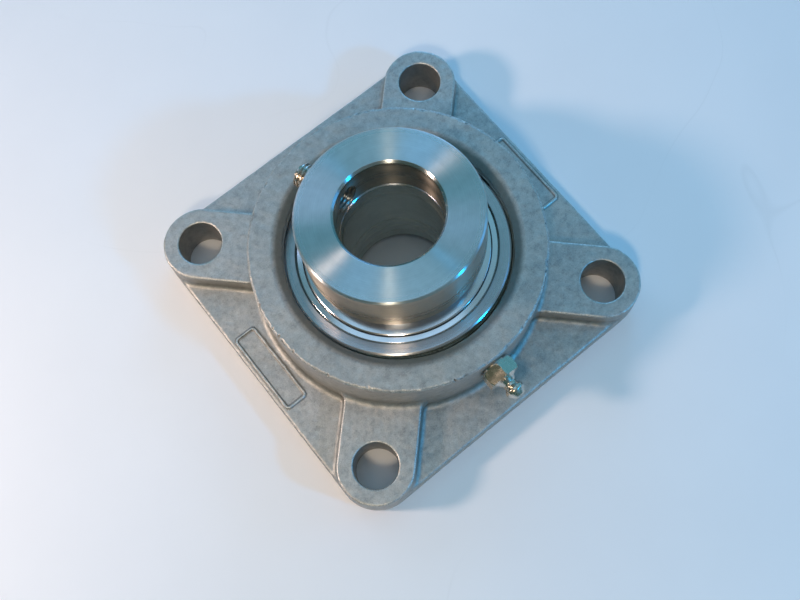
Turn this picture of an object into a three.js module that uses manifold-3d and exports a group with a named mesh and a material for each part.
// Four-bolt square flange bearing with an eccentric locking collar.
// Units are millimetres. The origin is the centre of the mounting face, and +Z points along the shaft
// towards the collar. The insert is built about its own axis, with its origin at the centre of its
// spherical outside, and is then tilted and lifted into the seat.

import * as THREE from 'three';
import { mergeVertices } from 'three/addons/utils/BufferGeometryUtils.js';
import Module from 'manifold-3d';

const wasm = await Module();
wasm.setup();

// ---------------------------------------------------------------- driving dimensions

// Flange housing
const FLANGE_WIDTH = 117;
const BOLT_PITCH = 92;
const BOLT_HOLE_DIAMETER = 14;
const LUG_THICKNESS = 16;
const WEB_THICKNESS = 10;
const HOUSING_HEIGHT = 34;
const BOSS_DIAMETER = 91.5;
const BOSS_DRAFT = 0.4;
const SEAT_CENTRE_HEIGHT = 21;
const SEAT_LIP_HEIGHT = 30;
const SEAT_MOUTH_DIAMETER = 70.8;
const SEAT_MOUTH_FLARE = 3.3;
const BACK_BORE_DIAMETER = 66;
const PLAQUE = { length: 29, width: 8, rise: 0.5, offset: 52.8 };

// Bearing insert, size 207 for a 1 1/4 inch shaft
const SHAFT_DIAMETER = 31.75;
const SPHERE_DIAMETER = 72;
const OUTER_RING_WIDTH = 17;
const OUTER_FACE_DIAMETER = 69;
const SEAL_RECESS = { diameter: 63, depth: 1.6 };
const BALL_COUNT = 9;
const BALL_DIAMETER = 11.112;
const BALL_PITCH_DIAMETER = 53.5;
const GROOVE_RADIUS = 5.78;
const OUTER_SHOULDER_DIAMETER = 59.2;
const INNER_SHOULDER_DIAMETER = 47.8;
const INNER_LAND_DIAMETER = 46;
const INNER_REAR = -18.8;
const INNER_FRONT = 18.9;
const CAM_DIAMETER = 41.8;
const CAM_START = 14;
const CAM_OFFSET = 1;

const GREASE_GROOVE = { height: 3, width: 2.4, depth: 0.7 };
const CAGE_BAND = { inner: 25.2, outer: 28.3, sheet: 0.7, parting: 0.05 };
const CAGE_RIVET = { shank: 0.75, head: 1.3, headHeight: 0.5 };
const SEAL_CASE = { inner: 25.2, rim: 29.3, sheet: 0.6, top: 8.2 };
const SEAL_LIP = { outer: 25.12, bottom: 6.95, tipTop: 7.4, top: 7.65, clearance: 0.12 };
const FLINGER = {
  outer: 29,
  sheet: 0.7,
  bottom: 8.05,
  dishInner: 24.8,
  dishRise: 0.2,
  sleeveFoot: 9.8,
  sleeveTop: 12,
};
const PIN = { diameter: 3, inner: 34, outer: 38 };

// Locking collar and its screw
const COLLAR_DIAMETER = 55.6;
const COLLAR_REAR = 14.8;
const COLLAR_FRONT = 32.3;
const COLLAR_RECESS_FLOOR = 19.2;
const CAM_PLAY = 0.45;
const SCREW_DIAMETER = 7.8;
const SCREW_LENGTH = 10;
const SCREW_SOCKET = { acrossFlats: 4, depth: 4 };
const SCREW_AZIMUTH = 109;
const SCREW_HEIGHT = 24.5;
const SCREW_OUTER_REACH = 33;
const SCREW_GAP = 0.2;

// Grease nipple: places along it are distances from the shaft's axis
const NIPPLE_HEIGHT = 24;
const NIPPLE_SHANK_START = 41;
const NIPPLE_HEX_START = 46.4;
const NIPPLE_HEX_END = 51;
const NIPPLE_TIP = 57.8;
const NIPPLE_HEX_ACROSS_FLATS = 10;
const NIPPLE_RADII = {
  shank: 3.9,
  base: 4.4,
  neck: 2.2,
  head: 3.1,
  tip: 1.9,
  mouth: 0.8,
  bore: 1.5,
  passage: 0.9,
};
const NIPPLE_BALL_RADIUS = 1.2;
const NIPPLE_BALL_TRAVEL = 0.6;

// Set in its seat
const INSERT_TILT = 5.2;
const SEAT_PLAY = 0.12;
const RACE_PLAY = 0.15;
const POCKET_PLAY = 0.3;
const FIT_GAP = 0.1;

// Facets around a full turn
const HOUSING_FACETS = 60;
const RING_FACETS = 48;
const HOLE_FACETS = 24;
const BALL_FACETS = 12;
const SCREW_FACETS = 16;
const SMALL_FACETS = 12;
const RIVET_FACETS = 6;

// ---------------------------------------------------------------- derived dimensions

const LUG_RADIUS = (FLANGE_WIDTH - BOLT_PITCH) / 2;
const BOLT_CIRCLE_RADIUS = (BOLT_PITCH / 2) * Math.SQRT2;
const BOSS_RADIUS = BOSS_DIAMETER / 2;
const SPHERE_RADIUS = SPHERE_DIAMETER / 2;
const SEAT_RADIUS = SPHERE_RADIUS + SEAT_PLAY;
const BACK_BORE_RADIUS = BACK_BORE_DIAMETER / 2;
const SHAFT_RADIUS = SHAFT_DIAMETER / 2;
const BALL_RADIUS = BALL_DIAMETER / 2;
const PITCH_RADIUS = BALL_PITCH_DIAMETER / 2;
const OUTER_HALF_WIDTH = OUTER_RING_WIDTH / 2;
const CAM_RADIUS = CAM_DIAMETER / 2;
const CAM_AZIMUTH = SCREW_AZIMUTH - 90;


// ---------------------------------------------------------------- materials

function metal(color, roughness, metalness = 1) {
  return new THREE.MeshStandardMaterial({ color, roughness, metalness });
}

const castStainless = metal(0xa09d97, 0.6, 0.9);
const groundSteel = metal(0xb4b8bc, 0.3);
const turnedSteel = metal(0xbfc1c2, 0.35);
const pressedSteel = metal(0xc9ccd0, 0.18);
const cageSteel = metal(0xa8a9aa, 0.4);
const ballSteel = metal(0xd4d6d8, 0.08);
const sealRubber = metal(0x1f2022, 0.75, 0);
const platedSteel = metal(0xc2bfb6, 0.2);

// ---------------------------------------------------------------- solid helpers

const radians = THREE.MathUtils.degToRad;
const degrees = THREE.MathUtils.radToDeg;

function toSolid(geometry) {
  const bare = geometry.clone();
  bare.deleteAttribute('normal');
  bare.deleteAttribute('uv');
  const merged = mergeVertices(bare, 1e-4);
  const corners = merged.index.array;
  const triangles = [];
  for (let i = 0; i < corners.length; i += 3) {
    const [a, b, c] = corners.slice(i, i + 3);
    if (a !== b && b !== c && c !== a) triangles.push(a, b, c);
  }
  return new wasm.Manifold(new wasm.Mesh({
    numProp: 3,
    vertProperties: new Float32Array(merged.attributes.position.array),
    triVerts: new Uint32Array(triangles),
  }));
}

function toMesh(name, solid, material) {
  const { vertProperties, triVerts } = solid.getMesh();
  const geometry = new THREE.BufferGeometry();
  geometry.setAttribute('position', new THREE.BufferAttribute(vertProperties, 3));
  geometry.setIndex(new THREE.BufferAttribute(triVerts, 1));
  geometry.computeVertexNormals();
  const mesh = new THREE.Mesh(geometry, material);
  mesh.name = name;
  return mesh;
}

// A ring or disc turned about Z from a closed outline of [radius, height] points.
function turned(outline, facets = RING_FACETS) {
  const points = outline.map(([radius, height]) => new THREE.Vector2(radius, height));
  if (THREE.ShapeUtils.isClockWise(points)) points.reverse();
  points.push(points[0].clone());
  return toSolid(new THREE.LatheGeometry(points, facets).rotateX(Math.PI / 2));
}

function mirrored(outline) {
  return outline.map(([radius, height]) => [radius, -height]);
}

// Points on an arc in the radius and height plane, with angles in degrees from the radius axis.
function arc(centreRadius, centreHeight, radius, from, to, steps) {
  return Array.from({ length: steps + 1 }, (_, i) => {
    const angle = radians(from + ((to - from) * i) / steps);
    return [centreRadius + radius * Math.cos(angle), centreHeight + radius * Math.sin(angle)];
  });
}

function extruded(shape, bottom, top) {
  const settings = { depth: top - bottom, bevelEnabled: false, curveSegments: 8 };
  return toSolid(new THREE.ExtrudeGeometry(shape, settings).translate(0, 0, bottom));
}

function block(width, length, bottom, top, x = 0, y = 0) {
  const geometry = new THREE.BoxGeometry(width, length, top - bottom);
  return toSolid(geometry.translate(x, y, (bottom + top) / 2));
}

// A round or six-sided bar standing on the XY plane.
function upright(radius, bottom, top, facets, x = 0, y = 0) {
  const geometry = new THREE.CylinderGeometry(radius, radius, top - bottom, facets);
  return toSolid(geometry.rotateX(Math.PI / 2).translate(x, y, (bottom + top) / 2));
}

// A round bar lying along a radius of the Z axis.
function radial(radius, inner, outer, azimuth, height, facets = SMALL_FACETS) {
  const geometry = new THREE.CylinderGeometry(radius, radius, outer - inner, facets);
  geometry.translate(0, (inner + outer) / 2, 0);
  geometry.rotateZ(radians(azimuth - 90));
  return toSolid(geometry.translate(0, 0, height));
}

function onCircle(radius, azimuth) {
  return [radius * Math.cos(radians(azimuth)), radius * Math.sin(radians(azimuth))];
}

// ---------------------------------------------------------------- flange housing

function flangeOutline() {
  const corner = BOLT_PITCH / 2;
  const shape = new THREE.Shape();
  shape.absarc(corner, corner, LUG_RADIUS, 0, Math.PI / 2);
  shape.absarc(-corner, corner, LUG_RADIUS, Math.PI / 2, Math.PI);
  shape.absarc(-corner, -corner, LUG_RADIUS, Math.PI, 1.5 * Math.PI);
  shape.absarc(corner, -corner, LUG_RADIUS, 1.5 * Math.PI, 2 * Math.PI);
  return shape;
}

// Round-ended pad that runs from inside the boss out to the bolt hole at one azimuth.
function lugOutline(azimuth) {
  const along = radians(azimuth);
  const [startX, startY] = onCircle(BOSS_RADIUS - LUG_RADIUS, azimuth);
  const [endX, endY] = onCircle(BOLT_CIRCLE_RADIUS, azimuth);
  const [sideX, sideY] = onCircle(LUG_RADIUS, azimuth - 90);
  const shape = new THREE.Shape();
  shape.moveTo(startX + sideX, startY + sideY);
  shape.lineTo(endX + sideX, endY + sideY);
  shape.absarc(endX, endY, LUG_RADIUS, along - Math.PI / 2, along + Math.PI / 2);
  shape.lineTo(startX - sideX, startY - sideY);
  return shape;
}

function bossOutline() {
  const edge = 0.7;
  return [
    [0, 0],
    [BOSS_RADIUS + BOSS_DRAFT, 0],
    [BOSS_RADIUS, HOUSING_HEIGHT - edge],
    [BOSS_RADIUS - edge, HOUSING_HEIGHT],
    [0, HOUSING_HEIGHT],
  ];
}

// The hollow for the insert: back bore, spherical seat, and a mouth that flares out to the top face.
function seatOutline() {
  const mouthRadius = SEAT_MOUTH_DIAMETER / 2;
  const chamfer = 0.8;
  const overrun = 1;
  const bottomAngle = -degrees(Math.acos(BACK_BORE_RADIUS / SEAT_RADIUS));
  const lipAngle = degrees(Math.asin((SEAT_LIP_HEIGHT - SEAT_CENTRE_HEIGHT) / SEAT_RADIUS));
  return [
    [0, -overrun],
    [BACK_BORE_RADIUS + chamfer, -overrun],
    [BACK_BORE_RADIUS + chamfer, 0],
    [BACK_BORE_RADIUS, chamfer],
    ...arc(0, SEAT_CENTRE_HEIGHT, SEAT_RADIUS, bottomAngle, lipAngle, 8),
    [mouthRadius, SEAT_LIP_HEIGHT],
    [mouthRadius, HOUSING_HEIGHT - SEAT_MOUTH_FLARE],
    [mouthRadius + SEAT_MOUTH_FLARE, HOUSING_HEIGHT],
    [mouthRadius + SEAT_MOUTH_FLARE, HOUSING_HEIGHT + overrun],
    [0, HOUSING_HEIGHT + overrun],
  ];
}

// Two notches in the seat's lip, through which the insert goes in edge-on before it is turned flat.
function loadingSlots() {
  const top = HOUSING_HEIGHT - SEAT_MOUTH_FLARE + SEAT_RADIUS - SEAT_MOUTH_DIAMETER / 2;
  const slab = block(FLANGE_WIDTH, OUTER_RING_WIDTH + 4 * FIT_GAP, SEAT_CENTRE_HEIGHT, top);
  return slab.intersect(upright(SEAT_RADIUS, SEAT_CENTRE_HEIGHT, top, HOUSING_FACETS));
}

// The anti-rotation pin slides in this slot as the insert swivels. It is open at the seat's lip.
function pinSlot() {
  const gap = 4 * FIT_GAP;
  const swing = PIN.outer * Math.sin(radians(INSERT_TILT)) + PIN.diameter / 2;
  const end = PIN.outer + gap;
  const bottom = SEAT_CENTRE_HEIGHT - swing - gap;
  const middle = (end + PIN.inner) / 2;
  return block(end - PIN.inner, PIN.diameter + gap, bottom, SEAT_LIP_HEIGHT + 1, middle);
}

function flangeHousing() {
  let body = extruded(flangeOutline(), 0, WEB_THICKNESS).add(turned(bossOutline(), HOUSING_FACETS));
  for (const azimuth of [45, 135, 225, 315]) {
    const [x, y] = onCircle(BOLT_CIRCLE_RADIUS, azimuth);
    const hole = upright(BOLT_HOLE_DIAMETER / 2, -1, LUG_THICKNESS + 1, HOLE_FACETS, x, y);
    body = body.add(extruded(lugOutline(azimuth), 0, LUG_THICKNESS)).subtract(hole);
  }
  for (const side of [-1, 1]) {
    const top = WEB_THICKNESS + PLAQUE.rise;
    body = body.add(block(PLAQUE.width, PLAQUE.length, WEB_THICKNESS - 1, top, side * PLAQUE.offset));
  }
  const threadRadius = NIPPLE_RADII.shank + 2 * FIT_GAP;
  const threadHole = radial(threadRadius, NIPPLE_SHANK_START - 0.5, BOSS_RADIUS + 2, -90, NIPPLE_HEIGHT);
  const greasePassage = radial(1.6, SEAT_RADIUS - 3, NIPPLE_SHANK_START, -90, NIPPLE_HEIGHT);
  return body
    .subtract(turned(seatOutline(), HOUSING_FACETS))
    .subtract(loadingSlots())
    .subtract(pinSlot())
    .subtract(threadHole)
    .subtract(greasePassage);
}

// ---------------------------------------------------------------- grease nipple

// Built along +Z, where Z is the distance from the shaft's axis.
function nippleBody() {
  const radii = NIPPLE_RADII;
  const boreEnd = NIPPLE_SHANK_START + 0.8;
  const shell = turned([
    [radii.passage, NIPPLE_SHANK_START],
    [radii.shank - 0.4, NIPPLE_SHANK_START],
    [radii.shank, NIPPLE_SHANK_START + 0.5],
    [radii.shank, NIPPLE_HEX_START],
    [radii.base, NIPPLE_HEX_START],
    [radii.base, NIPPLE_HEX_END],
    [radii.neck + 0.3, NIPPLE_HEX_END + 0.9],
    [radii.neck, NIPPLE_TIP - 4.2],
    [radii.head, NIPPLE_TIP - 2.9],
    [radii.head, NIPPLE_TIP - 1.5],
    [radii.tip, NIPPLE_TIP],
    [radii.mouth, NIPPLE_TIP],
    [radii.mouth, NIPPLE_TIP - 0.6],
    [radii.bore, NIPPLE_TIP - 1.3],
    [radii.bore, boreEnd],
    [radii.passage, boreEnd],
  ], SMALL_FACETS);
  const core = upright(radii.shank + 0.2, NIPPLE_HEX_START - 1, NIPPLE_HEX_END + 1, SMALL_FACETS);
  const hex = upright(NIPPLE_HEX_ACROSS_FLATS / Math.sqrt(3), NIPPLE_HEX_START, NIPPLE_HEX_END, 6);
  return shell.add(hex.subtract(core));
}

class SpringPath extends THREE.Curve {
  constructor(coilRadius, start, length, turns) {
    super();
    Object.assign(this, { coilRadius, start, length, turns });
  }

  getPoint(t, target = new THREE.Vector3()) {
    const angle = 2 * Math.PI * this.turns * t;
    return target.set(
      this.coilRadius * Math.cos(angle),
      this.coilRadius * Math.sin(angle),
      this.start + this.length * t,
    );
  }
}

function nippleSpring(start, length) {
  const wire = new THREE.Shape().absarc(0, 0, 0.2, 0, 2 * Math.PI);
  const turns = 5;
  const extrudePath = new SpringPath(1, start, length, turns);
  return toSolid(new THREE.ExtrudeGeometry(wire, { steps: turns * 8, extrudePath, curveSegments: 2 }));
}

function greaseNipple() {
  const group = new THREE.Group();
  const ballHeight = NIPPLE_TIP - 1.6;
  const ball = new THREE.SphereGeometry(NIPPLE_BALL_RADIUS, BALL_FACETS, 8).translate(0, 0, ballHeight);
  const springStart = NIPPLE_SHANK_START + 1.1;
  const springEnd = ballHeight - NIPPLE_BALL_RADIUS - NIPPLE_BALL_TRAVEL - 0.3;
  group.add(
    toMesh('grease_nipple_body', nippleBody(), platedSteel),
    toMesh('nipple_check_ball', toSolid(ball), ballSteel),
    toMesh('nipple_spring', nippleSpring(springStart, springEnd - springStart), pressedSteel),
  );
  group.position.z = NIPPLE_HEIGHT;
  group.rotation.x = Math.PI / 2;
  return group;
}

// ---------------------------------------------------------------- outer ring and seals

function outerRing() {
  const greaseLow = GREASE_GROOVE.height - GREASE_GROOVE.width / 2;
  const greaseHigh = GREASE_GROOVE.height + GREASE_GROOVE.width / 2;
  const angleAt = (height) => degrees(Math.asin(height / SPHERE_RADIUS));
  const edgeAngle = angleAt(OUTER_HALF_WIDTH - 0.4);
  const grooveCentre = PITCH_RADIUS + BALL_RADIUS + RACE_PLAY - GROOVE_RADIUS;
  const shoulder = OUTER_SHOULDER_DIAMETER / 2;
  const grooveAngle = degrees(Math.acos((shoulder - grooveCentre) / GROOVE_RADIUS));
  const recessFloor = OUTER_HALF_WIDTH - SEAL_RECESS.depth;
  const recessRadius = SEAL_RECESS.diameter / 2;
  const faceRadius = OUTER_FACE_DIAMETER / 2;
  const outline = [
    [recessRadius, -OUTER_HALF_WIDTH],
    [faceRadius, -OUTER_HALF_WIDTH],
    ...arc(0, 0, SPHERE_RADIUS, -edgeAngle, angleAt(greaseLow), 4),
    ...arc(0, 0, SPHERE_RADIUS - GREASE_GROOVE.depth, angleAt(greaseLow), angleAt(greaseHigh), 1),
    ...arc(0, 0, SPHERE_RADIUS, angleAt(greaseHigh), edgeAngle, 2),
    [faceRadius, OUTER_HALF_WIDTH],
    [recessRadius, OUTER_HALF_WIDTH],
    [recessRadius, recessFloor],
    [shoulder, recessFloor],
    ...arc(grooveCentre, 0, GROOVE_RADIUS, grooveAngle, -grooveAngle, 8),
    [shoulder, -recessFloor],
    [recessRadius, -recessFloor],
  ];
  const greaseHoles = [90, 270].map((azimuth) => radial(0.9, 28, 37, azimuth, GREASE_GROOVE.height, 8));
  const pinHole = radial(PIN.diameter / 2 + FIT_GAP, PIN.inner - FIT_GAP, 37, 0, 0);
  return [...greaseHoles, pinHole].reduce((ring, hole) => ring.subtract(hole), turned(outline));
}

// Steel ring of the seal, pressed into the outer ring's recess, with a raised rim.
function sealCaseOutline() {
  const outside = SEAL_RECESS.diameter / 2 - FIT_GAP;
  const bottom = OUTER_HALF_WIDTH - SEAL_RECESS.depth + FIT_GAP;
  const floor = bottom + SEAL_CASE.sheet;
  return [
    [SEAL_CASE.inner, bottom],
    [outside, bottom],
    [outside, SEAL_CASE.top],
    [SEAL_CASE.rim, SEAL_CASE.top],
    [SEAL_CASE.rim, floor],
    [SEAL_CASE.inner, floor],
  ];
}

// Rubber lip bonded inside the case, running on the inner ring's shoulder.
function sealLipOutline() {
  const tip = INNER_SHOULDER_DIAMETER / 2 + SEAL_LIP.clearance;
  return [
    [tip, SEAL_LIP.bottom],
    [SEAL_LIP.outer, SEAL_LIP.bottom],
    [SEAL_LIP.outer, SEAL_LIP.top],
    [tip, SEAL_LIP.tipTop],
  ];
}

// ---------------------------------------------------------------- balls and cage

function ballAzimuth(index) {
  return (360 * index) / BALL_COUNT;
}

function ball(index) {
  const [x, y] = onCircle(PITCH_RADIUS, ballAzimuth(index));
  const geometry = new THREE.SphereGeometry(BALL_RADIUS, BALL_FACETS, 8);
  return toSolid(geometry.rotateX(Math.PI / 2).translate(x, y, 0));
}

function rivetAzimuth(index) {
  return ballAzimuth(index + 0.5);
}

// Stations along one pitch of the pressed band: each holds the distance from the ball's centre and the
// heights of the sheet's two faces. The pocket is an arch over the ball, and a flat web follows it.
function bandStations() {
  const inside = BALL_RADIUS + POCKET_PLAY;
  const outside = inside + CAGE_BAND.sheet;
  const steps = 8;
  const halfPitch = (Math.PI * PITCH_RADIUS) / BALL_COUNT;
  const flat = { low: CAGE_BAND.parting, high: CAGE_BAND.parting + CAGE_BAND.sheet };
  const arch = Array.from({ length: steps + 1 }, (_, i) => {
    const offset = -inside * Math.cos((Math.PI * i) / steps);
    const rise = (radius) => Math.sqrt(Math.max(radius * radius - offset * offset, 0));
    return { offset, low: Math.max(rise(inside), flat.low), high: rise(outside) };
  });
  return [...arch, { offset: outside, ...flat }, { offset: 2 * halfPitch - outside, ...flat }];
}

function cageBand() {
  const stations = [];
  for (let i = 0; i < BALL_COUNT; i += 1) {
    for (const { offset, low, high } of bandStations()) {
      stations.push({ angle: radians(ballAzimuth(i)) + offset / PITCH_RADIUS, low, high });
    }
  }
  const positions = [];
  for (const { angle, low, high } of stations) {
    const { inner, outer } = CAGE_BAND;
    for (const [radius, height] of [[inner, low], [outer, low], [outer, high], [inner, high]]) {
      positions.push(radius * Math.cos(angle), radius * Math.sin(angle), height);
    }
  }
  const triangles = [];
  for (let i = 0; i < stations.length; i += 1) {
    const next = (i + 1) % stations.length;
    for (let side = 0; side < 4; side += 1) {
      const [a, b] = [4 * i + side, 4 * i + ((side + 1) % 4)];
      const [c, d] = [4 * next + ((side + 1) % 4), 4 * next + side];
      triangles.push(a, c, b, a, d, c);
    }
  }
  const geometry = new THREE.BufferGeometry();
  geometry.setAttribute('position', new THREE.Float32BufferAttribute(positions, 3));
  geometry.setIndex(triangles);
  let band = toSolid(geometry);
  for (let i = 0; i < BALL_COUNT; i += 1) {
    const [x, y] = onCircle(PITCH_RADIUS, rivetAzimuth(i));
    band = band.subtract(upright(CAGE_RIVET.shank + 2 * FIT_GAP, -1, 2, RIVET_FACETS, x, y));
  }
  return band;
}

function rivet(index) {
  const [x, y] = onCircle(PITCH_RADIUS, rivetAzimuth(index));
  const seat = CAGE_BAND.parting + CAGE_BAND.sheet + 0.05;
  const top = seat + CAGE_RIVET.headHeight;
  const outline = [
    [0, -top],
    [CAGE_RIVET.head, -top],
    [CAGE_RIVET.head, -seat],
    [CAGE_RIVET.shank, -seat],
    [CAGE_RIVET.shank, seat],
    [CAGE_RIVET.head, seat],
    [CAGE_RIVET.head, top],
    [0, top],
  ];
  return turned(outline, RIVET_FACETS).translate([x, y, 0]);
}

function ballsAndCage() {
  const group = new THREE.Group();
  const front = toMesh('cage_front', cageBand(), cageSteel);
  const rear = toMesh('cage_rear', cageBand(), cageSteel);
  rear.rotation.x = Math.PI;
  group.add(front, rear);
  for (let i = 0; i < BALL_COUNT; i += 1) {
    group.add(toMesh(`ball_${i + 1}`, ball(i), ballSteel));
    group.add(toMesh(`cage_rivet_${i + 1}`, rivet(i), cageSteel));
  }
  return group;
}

// ---------------------------------------------------------------- inner ring and flingers

function innerRing() {
  const grooveCentre = PITCH_RADIUS - BALL_RADIUS - RACE_PLAY + GROOVE_RADIUS;
  const shoulder = INNER_SHOULDER_DIAMETER / 2;
  const land = INNER_LAND_DIAMETER / 2;
  const grooveAngle = degrees(Math.acos((grooveCentre - shoulder) / GROOVE_RADIUS));
  const shoulderEnd = 7.8;
  const edge = 1;
  const body = turned([
    [0, INNER_REAR],
    [land - edge, INNER_REAR],
    [land, INNER_REAR + edge],
    [land, -shoulderEnd],
    [shoulder, -shoulderEnd],
    ...arc(grooveCentre, 0, GROOVE_RADIUS, 180 + grooveAngle, 180 - grooveAngle, 6),
    [shoulder, shoulderEnd],
    [land, shoulderEnd],
    [land, CAM_START],
    [0, CAM_START],
  ]);
  const [camX, camY] = onCircle(CAM_OFFSET, CAM_AZIMUTH);
  const cam = upright(CAM_RADIUS, CAM_START - 1, INNER_FRONT, RING_FACETS, camX, camY);
  const chamfer = 0.8;
  const bore = turned([
    [0, INNER_REAR - 1],
    [SHAFT_RADIUS + chamfer, INNER_REAR - 1],
    [SHAFT_RADIUS + chamfer, INNER_REAR],
    [SHAFT_RADIUS, INNER_REAR + chamfer],
    [SHAFT_RADIUS, INNER_FRONT - chamfer],
    [SHAFT_RADIUS + chamfer, INNER_FRONT],
    [SHAFT_RADIUS + chamfer, INNER_FRONT + 1],
    [0, INNER_FRONT + 1],
  ]);
  return body.add(cam).subtract(bore);
}

// Dished steel disc with a sleeve, pressed on the inner ring outside each seal.
function flingerOutline() {
  const { outer, sheet, bottom, dishInner, dishRise, sleeveFoot, sleeveTop } = FLINGER;
  const inside = INNER_LAND_DIAMETER / 2 + FIT_GAP;
  return [
    [inside, bottom],
    [outer, bottom],
    [outer, bottom + sheet / 2],
    [outer - 0.3, bottom + sheet],
    [dishInner, bottom + sheet + dishRise],
    [inside + sheet, sleeveFoot],
    [inside + sheet, sleeveTop],
    [inside, sleeveTop],
  ];
}

// ---------------------------------------------------------------- locking collar

function lockingCollar() {
  const outside = COLLAR_DIAMETER / 2;
  const inside = SHAFT_RADIUS + FIT_GAP;
  const edge = 0.6;
  const body = turned([
    [inside, COLLAR_REAR],
    [outside - edge / 2, COLLAR_REAR],
    [outside, COLLAR_REAR + edge / 2],
    [outside, COLLAR_FRONT - edge],
    [outside - edge, COLLAR_FRONT],
    [inside + edge, COLLAR_FRONT],
    [inside, COLLAR_FRONT - edge],
  ]);
  const [camX, camY] = onCircle(CAM_OFFSET, CAM_AZIMUTH);
  const recessRadius = CAM_RADIUS + CAM_PLAY;
  const recess = upright(recessRadius, COLLAR_REAR - 1, COLLAR_RECESS_FLOOR, RING_FACETS, camX, camY);
  const thread = radial(SCREW_DIAMETER / 2 + SCREW_GAP, 14, 30, SCREW_AZIMUTH, SCREW_HEIGHT, SCREW_FACETS);
  return body.subtract(recess).subtract(thread);
}

// Built along +Z with its point at zero: a cup point at one end and a six-sided socket at the other.
function setScrew() {
  const radius = SCREW_DIAMETER / 2;
  const body = turned([
    [0, 0.8],
    [1.2, 0],
    [2.2, 0],
    [radius, 1.2],
    [radius, SCREW_LENGTH - 0.6],
    [radius - 0.6, SCREW_LENGTH],
    [0, SCREW_LENGTH],
  ], SCREW_FACETS);
  const socketRadius = SCREW_SOCKET.acrossFlats / Math.sqrt(3);
  const socket = upright(socketRadius, SCREW_LENGTH - SCREW_SOCKET.depth, SCREW_LENGTH + 1, 6);
  return body.subtract(socket);
}

function collarWithScrew() {
  const group = new THREE.Group();
  const screw = toMesh('collar_set_screw', setScrew(), cageSteel);
  screw.rotation.y = Math.PI / 2;
  screw.position.x = SCREW_OUTER_REACH - SCREW_LENGTH;
  const aimed = new THREE.Group().add(screw);
  aimed.position.z = SCREW_HEIGHT;
  aimed.rotation.z = radians(SCREW_AZIMUTH);
  group.add(toMesh('locking_collar', lockingCollar(), turnedSteel), aimed);
  return group;
}

// ---------------------------------------------------------------- assembly

function antiRotationPin() {
  const bar = upright(PIN.diameter / 2, PIN.inner, PIN.outer, SMALL_FACETS);
  const pin = toMesh('anti_rotation_pin', bar, groundSteel);
  pin.rotation.y = Math.PI / 2;
  pin.position.z = SEAT_CENTRE_HEIGHT;
  return pin;
}

function bearingInsert() {
  const insert = new THREE.Group();
  insert.add(
    toMesh('outer_ring', outerRing(), groundSteel),
    toMesh('front_seal_case', turned(sealCaseOutline()), pressedSteel),
    toMesh('front_seal_lip', turned(sealLipOutline()), sealRubber),
    toMesh('rear_seal_case', turned(mirrored(sealCaseOutline())), pressedSteel),
    toMesh('rear_seal_lip', turned(mirrored(sealLipOutline())), sealRubber),
    ballsAndCage(),
    toMesh('inner_ring', innerRing(), groundSteel),
    toMesh('front_flinger', turned(flingerOutline()), pressedSteel),
    toMesh('rear_flinger', turned(mirrored(flingerOutline())), pressedSteel),
    collarWithScrew(),
  );
  insert.position.z = SEAT_CENTRE_HEIGHT;
  insert.rotation.x = -radians(INSERT_TILT);
  return insert;
}

const flangeBearing = new THREE.Group();
flangeBearing.add(
  toMesh('flange_housing', flangeHousing(), castStainless),
  greaseNipple(),
  antiRotationPin(),
  bearingInsert(),
);

export default flangeBearing;
